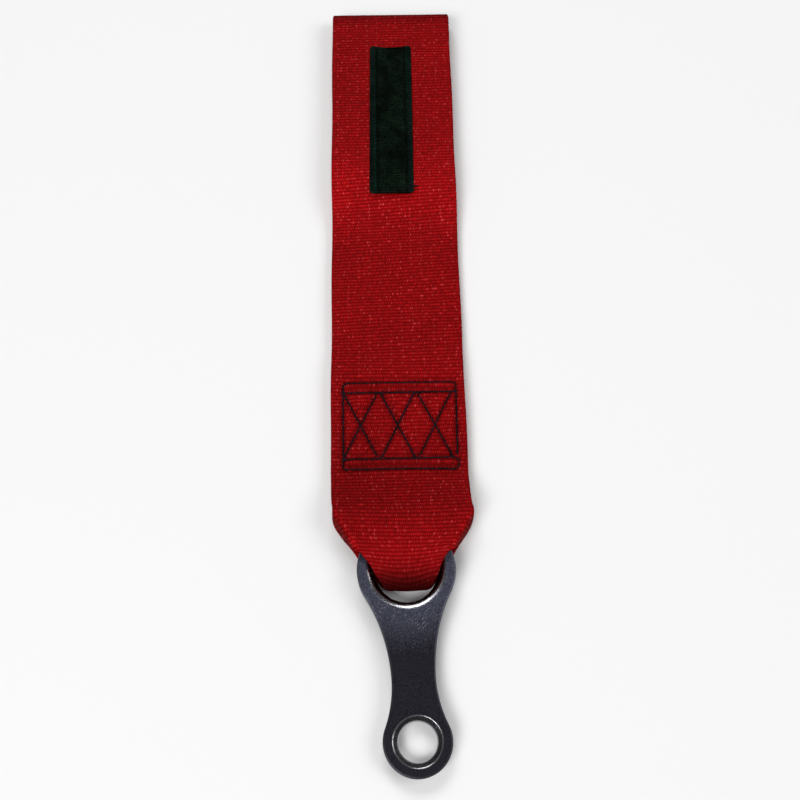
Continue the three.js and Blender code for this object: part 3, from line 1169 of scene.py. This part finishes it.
    def normals(self, reached: np.ndarray, across: np.ndarray) -> np.ndarray:
        """Directions straight out of the middle surface."""
        step = 0.3
        share = 0.012
        along = self.surface(reached + step, across) - self.surface(reached - step, across)
        low = np.maximum(across - share, -1.0)
        high = np.minimum(across + share, 1.0)
        side = self.surface(reached, high) - self.surface(reached, low)
        out = np.cross(side, along)
        return out / np.linalg.norm(out, axis=-1)[..., None]

    def on_face(self, run: np.ndarray, front: bool, above: float) -> np.ndarray:
        """Lay a run of thread on the band's outer face in the sewn block.

        Args:
            run: The run seen from above, (across, along) in millimetres.
            front: Whether it lies on the upper face.
            above: How far the thread's middle lies above the face.

        Returns:
            The run's points.
        """
        lay, dip = self.lay, self.sewing.sink
        x, y = run.T
        height = lay.sewn_top - dip + above if front else dip - above
        return np.column_stack([x + lay.lean_at(y), y, np.full(len(run), height)])

    def build(self, shop: Workshop, material: bpy.types.Material) -> None:
        """Make the band and the lapped end as one piece, with its place baked into its mesh."""
        across, height = self.section()
        stations = 2 * self.ribs
        reached = np.arange(stations) * self.path["total"] / stations
        grid_s, grid_u = np.meshgrid(reached, across, indexing="ij")
        middle = self.surface(grid_s, grid_u)
        out = self.normals(grid_s, grid_u)
        ribs = self.rib_height * np.where(np.arange(stations) % 2, 0.0, -1.0)[:, None]
        thick = (self.lay.thickness / 2 + ribs) * height[None, :]
        points = (middle + out * thick[..., None]).reshape(-1, 3)
        points[:, 2] = np.maximum(points[:, 2], 0.0)
        faces = ring_faces(stations, len(across), closed=True)
        lap_points, lap_faces = self.lap()
        faces = np.concatenate([faces, lap_faces + len(points)])
        points = np.concatenate([points, lap_points])
        piece = shop.piece("webbing_band", points, faces, material)
        self.unwrap(piece, points, stations, across, lap_faces, lap_points)
        shop.bend_between(piece, Slot.WEBBING, self.bend_start, self.bend_end, "webbing")

    def lap(self) -> tuple[np.ndarray, np.ndarray]:
        """Points and faces of the lapped end, pressed between the layers in the block."""
        lay = self.lay
        x = np.linspace(-lay.width / 2, lay.width / 2, 26)
        y = np.linspace(lay.sewn_start + 0.4, lay.sewn_end - 0.4, 40)
        grid_y, grid_x = np.meshgrid(y, x, indexing="ij")
        pressed = smoothstep(lay.width / 2 - np.abs(grid_x), 0.0, 6.0)
        bottom = lay.thickness - 0.05 + 0.5 * pressed
        top = 2 * lay.thickness + 0.05 - 0.7 * pressed
        return slab(grid_x, grid_y, top, bottom)

    def painted_light_and_shade(self, points: np.ndarray, across: np.ndarray, stations: int) -> np.ndarray:
        """Painted light and shade at the piece's points: the painted tone along the strap, painted shade in
        the furrows by the threads and on the folded margins, and a painted highlight by the margins'
        ridges.

        Args:
            points: All the piece's points, the band's first.
            across: Places across the band round its section.
            stations: How many sections the band has.

        Returns:
            One share of the full tone for each point.
        """
        x, y, z = points.T
        tone = self.read(self.tone, y)
        # Painted shade in the furrows along the threads in the sewn block.
        away = self.sewing.distance(x - self.lay.lean_at(y), y)
        tone = tone * (1 - 0.5 * np.exp(-(away**2)) * self.lay.in_block(y))
        band = stations * len(across)
        size = np.abs(np.tile(across, stations))
        share, folded = self.folding(y[:band])
        is_front = z[:band] > 2.5
        # Painted shade on the folded-down margins and a painted highlight along the ridge where they fold.
        margin = smoothstep(size, share + 0.01, share + 0.07)
        crest = np.exp(-(((size - share + 0.015) / 0.02) ** 2))
        tone[:band] *= 1 + folded * is_front * (0.3 * crest - 0.42 * margin)
        return tone

    def unwrap(
        self,
        piece: bpy.types.Object,
        points: np.ndarray,
        stations: int,
        across: np.ndarray,
        lap_faces: np.ndarray,
        lap_points: np.ndarray,
    ) -> None:
        """Give the piece its painted light and shade, and its weave's map: across in millimetres, along in
        ribs.

        Args:
            piece: The piece.
            points: All its points, the band's first.
            stations: How many sections the band has, two to each rib.
            across: Places across the band round its section.
            lap_faces: The faces of the lapped end, counted from its first point.
            lap_points: The points of the lapped end.
        """
        here = np.broadcast_to(across * self.lay.width / 2, (stations, len(across)))
        beside = np.roll(here, -1, axis=1)
        row = np.broadcast_to(np.arange(stations)[:, None] / 2.0, here.shape)
        corners = [(here, row), (beside, row), (beside, row + 0.5), (here, row + 0.5)]
        band = np.stack([np.stack(pair, axis=-1) for pair in corners], axis=2).reshape(-1, 2)
        lap = lap_points[lap_faces.reshape(-1)][:, :2] * [1.0, 1 / self.rib_pitch]
        painted_light_and_shade = piece.data.attributes.new("painted_light_and_shade", "FLOAT", "POINT")
        painted_light_and_shade.data.foreach_set("value", self.painted_light_and_shade(points, across, stations).astype(np.float32))
        layer = piece.data.uv_layers.new(name=WebbingFinish.uv)
        layer.data.foreach_set("uv", np.concatenate([band, lap]).astype(np.float32).ravel())


@dataclass
class Patch:
    """The strip of hook-and-loop tape, its pile, its sewing and the thread's tail."""

    lay: Lay
    centre: float = -0.6
    slant: float = 0.008
    start: float = 151.8
    length: float = 73.0
    half_top: float = 8.7
    half_bottom: float = 8.87
    base: float = 0.75
    border: float = 1.9
    height: float = 1.35
    corner: float = 1.7
    seam_inset: float = 1.1
    stitch: float = 2.2
    thread: float = 0.5
    tail_radius: float = 0.36
    pile_inset: float = 0.5
    loops_per_cm2: float = 150.0
    loop_size: float = 0.42
    seed: int = 7

    def middle(self, y: np.ndarray) -> np.ndarray:
        """Where the tape's middle lies across the webbing, at places along it."""
        return self.centre + self.slant * (y - self.start - self.length / 2)

    def half(self, y: np.ndarray) -> np.ndarray:
        """Half-width at places along the tape, rounded at its corners."""
        share = (y - self.start) / self.length
        plain = self.half_bottom + (self.half_top - self.half_bottom) * share
        near = np.minimum(y - self.start, self.start + self.length - y)
        into = np.clip(1 - near / self.corner, 0.0, 1.0)
        return plain - self.corner * (1 - np.sqrt(1 - into**2))

    def top(self, x: np.ndarray, y: np.ndarray) -> np.ndarray:
        """Height of the tape's upper face above the webbing at (across its middle, along)."""
        side = self.half(y) - np.abs(x)
        end = np.minimum(y - self.start, self.start + self.length - y)
        inwards = np.minimum(side, end)
        woven = self.base * smoothstep(inwards, -0.35, 0.35)
        field_share = smoothstep(inwards, self.border - 0.5, self.border + 0.5)
        groove = 0.25 * np.exp(-(((inwards - self.seam_inset) / 0.35) ** 2))
        wave = 0.12 * np.sin(y * 0.9 + 0.5 * np.sin(x)) * field_share
        past_x = np.maximum(0.0, np.abs(x) - 6.5)
        past_y = np.maximum(0.0, y - self.start - self.length + 3.0)
        lift = 0.5 * smoothstep(np.hypot(past_x, past_y), 1.5, 4.0)
        return woven + (self.height - self.base) * field_share - groove + wave + lift

    def build(self, shop: Workshop, tape: bpy.types.Material, thread: bpy.types.Material) -> None:
        """Make the tape, its pile, its stitches and the tail."""
        lay = self.lay
        y = self.start + self.length * np.linspace(0.0, 1.0, 181)
        u = np.linspace(-1.0, 1.0, 49)
        grid_y, grid_u = np.meshgrid(y, u, indexing="ij")
        x = grid_u * self.half(grid_y)
        end = self.start + self.length
        hollow = 0.9 * (1 - np.abs(grid_u) ** 2.5)
        seen_y = grid_y - hollow * smoothstep(grid_y, end - 5, end)
        top = lay.loop_top + self.top(x, grid_y)
        bottom = np.full(top.shape, lay.loop_top - 0.1)
        points, faces = slab(x + self.middle(grid_y), seen_y, top, bottom)
        body = shop.piece("patch_tape", points, faces, tape)
        shop.join_body(body, Slot.PATCH, Body.STRAP, ["hook_and_loop_patch"])
        shop.join_body(self.pile(shop, tape), Slot.PATCH, Body.STRAP)
        shop.join_body(self.sewing(shop, thread), Slot.THREAD, Body.STRAP)
        shop.join_body(self.tail(shop, thread), Slot.THREAD, Body.STRAP)

    def pile(self, shop: Workshop, tape: bpy.types.Material) -> bpy.types.Object:
        """Grow the small upright loops over the field inside the border."""
        inset = self.pile_inset
        y = np.linspace(self.start + inset, self.start + self.length - 2 * inset, 40)
        u = np.linspace(-1.0, 1.0, 9)
        grid_y, grid_u = np.meshgrid(y, u, indexing="ij")
        x = grid_u * (self.half_top - inset)
        z = self.lay.loop_top + self.top(x, grid_y) - 0.12
        points = np.stack([x + self.middle(grid_y), grid_y, z], axis=-1).reshape(-1, 3)
        grid = np.arange(x.size).reshape(x.shape)
        cells = [grid[:-1, :-1], grid[:-1, 1:], grid[1:, 1:], grid[1:, :-1]]
        field_mesh = shop.piece("patch_field", points, np.stack(cells, axis=-1).reshape(-1, 4), tape)
        values = {
            "Density": self.loops_per_cm2 * 1e4,
            "Loop size": self.loop_size * MM,
            "Seed": self.seed,
            "Tape": tape,
        }
        return grow(field_mesh, self.pile_tree(), values, "patch_pile")

    def pile_tree(self) -> bpy.types.NodeTree:
        """Build the tree that scatters arched loops over a surface."""
        kinds = {
            "Field": "Geometry",
            "Density": "Float",
            "Loop size": "Float",
            "Seed": "Int",
            "Tape": "Material",
        }
        graph, entry = start_tree("pile", kinds, "Pile")
        field_spread = {"Mesh": entry["Field"], "Density": entry["Density"], "Seed": entry["Seed"]}
        spread = graph.add("GeometryNodeDistributePointsOnFaces", field_spread).outputs[0]
        size = entry["Loop size"]
        arch = {"Resolution": 7, "Radius": size, "Start Angle": -0.5, "Sweep Angle": math.pi + 1.0}
        arc = graph.add("GeometryNodeCurveArc", arch).outputs[0]
        ring = graph.add("GeometryNodeCurvePrimitiveCircle", {"Resolution": 4})
        graph.feed(ring.inputs["Radius"], graph.math("MULTIPLY", size, 0.2))
        swept = {"Curve": arc, "Profile Curve": ring.outputs[0], "Fill Caps": True}
        wire = graph.add("GeometryNodeCurveToMesh", swept).outputs[0]
        stood = {"Geometry": wire, "Rotation": (math.pi / 2, 0.0, 0.0)}
        upright = graph.add("GeometryNodeTransform", stood).outputs[0]
        turn = graph.add("FunctionNodeRandomValue", data_type="FLOAT_VECTOR")
        graph.feed(turn.inputs[0], (-0.5, -0.5, 0.0))
        graph.feed(turn.inputs[1], (0.5, 0.5, 2 * math.pi))
        grown = graph.add("FunctionNodeRandomValue", {"Seed": 3}, data_type="FLOAT")
        graph.feed(grown.inputs[2], 0.7)
        graph.feed(grown.inputs[3], 1.25)
        placed = {
            "Points": spread,
            "Instance": upright,
            "Rotation": turn.outputs[0],
            "Scale": grown.outputs[1],
        }
        laid = graph.add("GeometryNodeInstanceOnPoints", placed).outputs[0]
        return end_tree(graph, laid, entry["Tape"])

    def sewing(self, shop: Workshop, thread: bpy.types.Material) -> bpy.types.Object:
        """Sew the tape on, round its border and with tacks at its upper corners."""
        inset = self.seam_inset
        low, high = self.start + inset, self.start + self.length - inset
        side = self.half_top - inset
        box = [(-side, low), (side, low), (side, high), (-side, high), (-side, low)]
        tacks = [[(way * side, high - 4.0), (way * (side - 1.0), high)] for way in (-1, 1)]
        paths = []
        for run in (box, *tacks):
            places = []
            for (x0, y0), (x1, y1) in zip(run[:-1], run[1:]):
                shares = np.linspace(0.0, 1.0, max(2, int(math.hypot(x1 - x0, y1 - y0) / 0.8)))
                places += [(x0 + (x1 - x0) * s, y0 + (y1 - y0) * s) for s in shares]
            x, y = np.array(places).T
            z = self.lay.loop_top + self.top(x, y) + 0.06
            paths.append(np.column_stack([x + self.middle(y), y, z]))
        return StitchRun("patch_stitches", self.stitch, self.thread).sew(shop, paths, thread)

    def tail(self, shop: Workshop, thread: bpy.types.Material) -> bpy.types.Object:
        """Make the knot and the loose end of thread at the patch's lower corner."""
        corner = [self.middle(self.start) + self.half_bottom - 0.7, self.start + 2.6, self.lay.loop_top]
        knot = [
            (-1.0 + 0.75 * math.cos(a), 0.8 * math.sin(a), 0.95 + 0.25 * math.sin(2 * a))
            for a in np.linspace(0.0, 2.6 * math.pi, 22)
        ]
        loose = [(0.6, 0.2, 0.7), (1.5, 0.5, 0.45), (2.3, 0.3, 0.4)]
        points, faces = tube(np.array(knot + loose) + corner, self.tail_radius, 8)
        return shop.piece("thread_tail", points, faces, thread)


def tube(line: np.ndarray, radius: float, sides: int) -> tuple[np.ndarray, list]:
    """Points and faces of a closed round tube along a line.

    Args:
        line: The points of its middle.
        radius: Its radius.
        sides: How many sides it has.

    Returns:
        The points and the faces, with both ends closed.
    """
    ahead = np.gradient(line, axis=0)
    ahead /= np.linalg.norm(ahead, axis=1)[:, None]
    side = np.cross(ahead, [0.0, 0.0, 1.0])
    side /= np.linalg.norm(side, axis=1)[:, None]
    up = np.cross(side, ahead)
    angles = np.linspace(0.0, 2 * math.pi, sides, endpoint=False)
    rings = [
        centre + radius * (np.cos(angles)[:, None] * s + np.sin(angles)[:, None] * u)
        for centre, s, u in zip(line, side, up)
    ]
    faces = ring_faces(len(line), sides, closed=False)[:, ::-1].tolist()
    faces.append(list(range(sides)))
    faces.append([(len(line) - 1) * sides + i for i in reversed(range(sides))])
    return np.concatenate(rings), faces


@dataclass
class TowLink:
    """The plated link: an outline of tangent arcs, a rounded large eye and a bolt eye."""

    lay: Lay
    eye_radius: float = 11.0
    bolt_end: float = 11.65
    bolt_radius: float = 6.5
    bolt_mouth: float = 8.5
    pitch: float = 57.2
    waist: float = 7.5
    waist_share: float = 0.35
    edge: float = 0.65
    hold: float = 0.12
    edge_wear: float = 0.08
    # Rim shares across the large eye's rounded wall, by angle from the face: wear with painted highlights,
    # bright on the outer round, a dark band, then a thin bright line at the bore.
    eye_wear_and_highlight: Table = ((0.0, 0.0), (0.25, 0.7), (0.5, 1.0), (0.7, 0.35), (1.2, 0.2), (1.4, 0.8))

    def side_radius(self, end: float, distance: float) -> float:
        """Radius of the hollow side that is tangent to an end's circle and to the waist."""
        return (self.waist**2 + distance**2 - end**2) / (2 * (end - self.waist))

    def contour(self, inset: float) -> np.ndarray:
        """The outline seen from above, moved inwards.

        Args:
            inset: How far it is moved.

        Returns:
            Its points, anticlockwise, as many for every inset.
        """
        eye_end = self.lay.eye_end
        from_bolt = self.waist_share * self.pitch
        waist_y = from_bolt - self.pitch
        eye_side = self.side_radius(eye_end, -waist_y)
        bolt_side = self.side_radius(self.bolt_end, from_bolt)
        eye_x, bolt_x = self.waist + eye_side, self.waist + bolt_side
        eye_angle = math.atan2(-waist_y, eye_x)
        bolt_angle = math.atan2(from_bolt, bolt_x)
        pi = math.pi
        arcs = [
            (0.0, 0.0, eye_end - inset, -eye_angle, pi + eye_angle, 96),
            (-eye_x, waist_y, eye_side + inset, eye_angle, 0.0, 28),
            (-bolt_x, waist_y, bolt_side + inset, 0.0, -bolt_angle, 20),
            (0.0, -self.pitch, self.bolt_end - inset, pi - bolt_angle, 2 * pi + bolt_angle, 80),
            (bolt_x, waist_y, bolt_side + inset, pi + bolt_angle, pi, 20),
            (eye_x, waist_y, eye_side + inset, pi, pi - eye_angle, 28),
        ]
        rows = []
        for x, y, radius, start, end, count in arcs:
            angles = np.linspace(start, end, count, endpoint=False)
            rows.append(np.column_stack([x + radius * np.cos(angles), y + radius * np.sin(angles)]))
        return np.concatenate(rows)

    def outer_rings(self) -> list[tuple]:
        """The outside's rings from the top face to the underside, as (points, height, rim)."""
        thick = self.lay.link_thickness
        angles = np.linspace(0.0, math.pi / 2, 6)
        rings = [(self.contour(self.edge + self.hold), thick, 0.0)]
        for a in angles:
            outline = self.contour(self.edge * (1 - math.sin(a)))
            height = thick - self.edge * (1 - math.cos(a))
            rings.append((outline, height, self.edge_wear * math.sin(2 * a)))
        return self.with_underside(rings)

    def hole_rings(self, profile: Sequence[tuple], y: float, count: int) -> list[tuple]:
        """A hole's rings from the top face to the underside.

        Args:
            profile: The wall's upper half, as (radius, depth below the face, rim).
            y: Place of the hole's centre along the link.
            count: How many points each ring has.

        Returns:
            The rings, as (points, height, rim).
        """
        thick = self.lay.link_thickness
        angles = np.linspace(0.0, 2 * math.pi, count, endpoint=False)
        unit = np.column_stack([np.cos(angles), np.sin(angles)])
        first = profile[0][0] + self.hold
        rings = [(unit * first + [0.0, y], thick, 0.0)]
        rings += [(unit * radius + [0.0, y], thick - depth, rim) for radius, depth, rim in profile]
        return self.with_underside(rings)

    def with_underside(self, rings: list[tuple]) -> list[tuple]:
        """Add the same rings mirrored down to the underside."""
        thick = self.lay.link_thickness
        return rings + [(points, thick - height, rim) for points, height, rim in reversed(rings)]

    def eye_profile(self) -> list[tuple]:
        """The large eye's wall: a full round from the face to the clear radius."""
        round_radius = self.lay.link_thickness / 2
        mouth = self.eye_radius + round_radius
        angles = np.linspace(0.0, math.pi / 2, 14)[:-1]
        wear = np.interp(angles, *zip(*self.eye_wear_and_highlight))
        return [
            (mouth - round_radius * math.sin(a), round_radius * (1 - math.cos(a)), float(rim))
            for a, rim in zip(angles, wear)
        ]

    def bolt_profile(self) -> list[tuple]:
        """The bolt eye's wall: an eased edge, a chamfer, and a straight bore."""
        mouth, clear = self.bolt_mouth, self.bolt_radius
        drop = mouth - clear
        # The rim shares paint two bright highlight lines, on the eased edge and at the bore's lip.
        return [
            (mouth, 0.0, 0.1),
            (mouth - 0.15, 0.04, 0.9),
            (mouth - 0.38, 0.2, 0.9),
            (mouth - 0.6, 0.42, 0.2),
            (mouth - 1.2, 1.0, 0.25),
            (clear + 0.35, drop - 0.45, 0.2),
            (clear + 0.2, drop - 0.26, 0.9),
            (clear + 0.03, drop - 0.02, 0.9),
            (clear, drop + 0.2, 0.3),
            (clear, 2.9, 0.2),
        ]

    def build(self, shop: Workshop, material: bpy.types.Material) -> None:
        """Make the link as one closed mesh, with its rims' wear and painted highlights as an attribute."""
        walls = [
            (self.outer_rings(), False),
            (self.hole_rings(self.eye_profile(), 0.0, 128), True),
            (self.hole_rings(self.bolt_profile(), -self.pitch, 96), True),
        ]
        points, rims, faces, rows = [], [], [], []
        for rings, is_hole in walls:
            first = len(points)
            count = len(rings[0][0])
            for ring, height, rim in rings:
                points += [(x, y, height) for x, y in ring]
                rims += [rim] * count
            wall = ring_faces(len(rings), count, closed=False) + first
            faces += (wall if is_hole else wall[:, ::-1]).tolist()
            rows.append((first, first + (len(rings) - 1) * count, count))
        for top in (True, False):
            starts = [(row[0] if top else row[1], row[2]) for row in rows]
            numbers = [start + i for start, count in starts for i in range(count)]
            flat = [[points[start + i][:2] for i in range(count)] for start, count in starts]
            loops = [[Vector((x, y, 0.0)) for x, y in loop] for loop in flat]
            for triangle in tessellate_polygon(loops):
                corners = [numbers[i] for i in triangle]
                a, b, c = (points[i] for i in corners)
                up = (b[0] - a[0]) * (c[1] - a[1]) - (b[1] - a[1]) * (c[0] - a[0]) > 0
                faces.append(corners if up == top else corners[::-1])
        placed = self.lay.link_place(np.array(points))
        piece = shop.piece("link_plate", placed, faces, material)
        attribute = piece.data.attributes.new("rim", "FLOAT", "POINT")
        attribute.data.foreach_set("value", np.array(rims, np.float32))
        shop.join_body(piece, Slot.STEEL, Body.LINK, ["tow_link"])


@dataclass(frozen=True)
class Softbox:
    """A soft light: where it stands, what it aims at, its size and its power."""

    name: str
    place: tuple[float, float, float]
    size: tuple[float, float]
    power: float
    aim: tuple[float, float, float] = (0.0, 0.0, 0.0)

    def build(self) -> None:
        """Hang the light."""
        data = bpy.data.lights.new(self.name, "AREA")
        data.shape = "RECTANGLE"
        data.size, data.size_y = self.size
        data.energy = self.power
        lamp = show(self.name, data)
        lamp.location = self.place
        way = Vector(self.aim) - Vector(self.place)
        lamp.rotation_euler = way.to_track_quat("-Z", "Y").to_euler()


@dataclass
class Studio:
    """The floor, the lights and the camera."""

    seat: Seat
    camera_place: tuple[float, ...] = (-2.67, -84.94, 372.7)
    camera_way: tuple[float, ...] = (0.0085, 0.3763, -0.9265)
    camera_turn: float = 0.01953
    lens: float = 47.97
    sensor: float = 36.0
    world: float = 0.16
    floor_half: float = 3.0
    floor_drop: float = 0.0001
    lights: tuple[Softbox, ...] = (
        Softbox("key", (-0.6, -0.9, 1.2), (0.9, 0.7), 16.0),
        Softbox("fill", (1.0, -0.1, 1.1), (0.8, 0.8), 7.0),
        Softbox("back", (-0.2, 1.0, 1.2), (0.9, 0.6), 10.0),
    )

    def build(self, floor: bpy.types.Material) -> None:
        """Set up the studio."""
        self.build_floor(floor)
        for light in self.lights:
            light.build()
        world = bpy.data.worlds.new("studio")
        world.use_nodes = True
        backdrop = world.node_tree.nodes["Background"]
        backdrop.inputs[0].default_value = (1.0, 1.0, 1.0, 1.0)
        backdrop.inputs[1].default_value = self.world
        bpy.context.scene.world = world
        bpy.context.scene.view_settings.view_transform = "Standard"
        self.build_camera()

    def build_floor(self, material: bpy.types.Material) -> None:
        """Lay a plain floor just under the strap."""
        mesh = bpy.data.meshes.new("floor")
        half = self.floor_half
        corners = [(-half, -half), (half, -half), (half, half), (-half, half)]
        mesh.from_pydata([(x, y, -self.floor_drop) for x, y in corners], [], [(0, 1, 2, 3)])
        mesh.materials.append(material)
        show("floor", mesh)

    def build_camera(self) -> None:
        """Stand the camera where the photograph was taken from."""
        data = bpy.data.cameras.new("camera")
        data.lens, data.sensor_width = self.lens, self.sensor
        data.clip_start = 0.01
        camera = show("camera", data)
        forward = Vector(self.camera_way).normalized()
        level_up = Vector((self.camera_turn, 1.0, 0.0)).normalized()
        right = forward.cross(level_up).normalized()
        up = right.cross(forward)
        turn = Matrix((right, up, -forward)).transposed().to_4x4()
        camera.matrix_world = Matrix.Translation(self.seat.metres(self.camera_place)) @ turn
        bpy.context.scene.camera = camera


def main() -> None:
    logging.basicConfig(level=logging.INFO, format="%(name)s: %(message)s")
    lay = Lay()
    seat = Seat.from_frame(lay.width, lay.fold_end)
    shop = Workshop(seat)
    sewing = BoxSewing(lay)
    web = Webbing(lay, sewing)
    link = TowLink(lay)
    thread = ThreadFinish("bonded_thread", 0.55).build()
    tape = TapeFinish("hook_and_loop", 0.95).build()
    eye = tuple(seat.metres(lay.link_place([0.0, 0.0, lay.link_thickness])))
    scratch = tuple(seat.metres(lay.link_place([3.2, -18.6, lay.link_thickness])))
    steel = SteelFinish("zinc_plate", 0.34, eye=eye, scratch=scratch).build()

    web.build(shop, WebbingFinish("ribbed_webbing", 0.72).build())
    sewing.build(shop, web, thread)
    Patch(lay).build(shop, tape, thread)
    link.build(shop, steel)
    Studio(seat).build(FloorFinish("pale_floor", 0.9).build())


if __name__ == "__main__":
    main()
